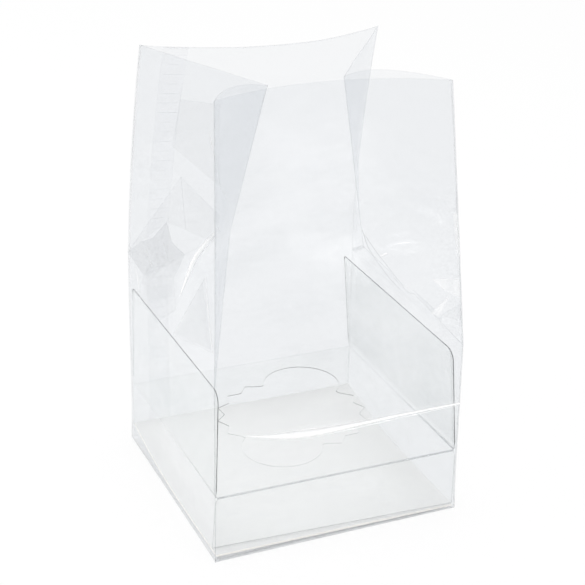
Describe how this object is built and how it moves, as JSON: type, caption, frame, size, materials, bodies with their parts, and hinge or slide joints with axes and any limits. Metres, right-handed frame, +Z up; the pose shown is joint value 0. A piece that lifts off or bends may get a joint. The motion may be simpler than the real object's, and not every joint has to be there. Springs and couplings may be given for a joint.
{
  "type": "cupcake bag",
  "caption": "Clear side-gusseted film bag with a square bottom, a folded clear plastic cupcake insert and a white card pad, standing open.",
  "frame": {"origin": "middle of the bag's square bottom, on the surface that it stands on", "axes": "+Z up to the mouth, -Y out of the front panel, +X to the right seen from the front"},
  "size_m": [0.1016, 0.1028, 0.1797],
  "materials": {
    "clear_film": "thin glossy see-through film",
    "clear_sheet": "clear glossy plastic sheet with darker cut edges",
    "white_card": "matt white card with a grey-beige cut edge"
  },
  "bodies": {
    "root": {"film_bag": "clear_film", "cupcake_insert": "clear_sheet", "base_card": "white_card"}
  },
  "joints": []
}
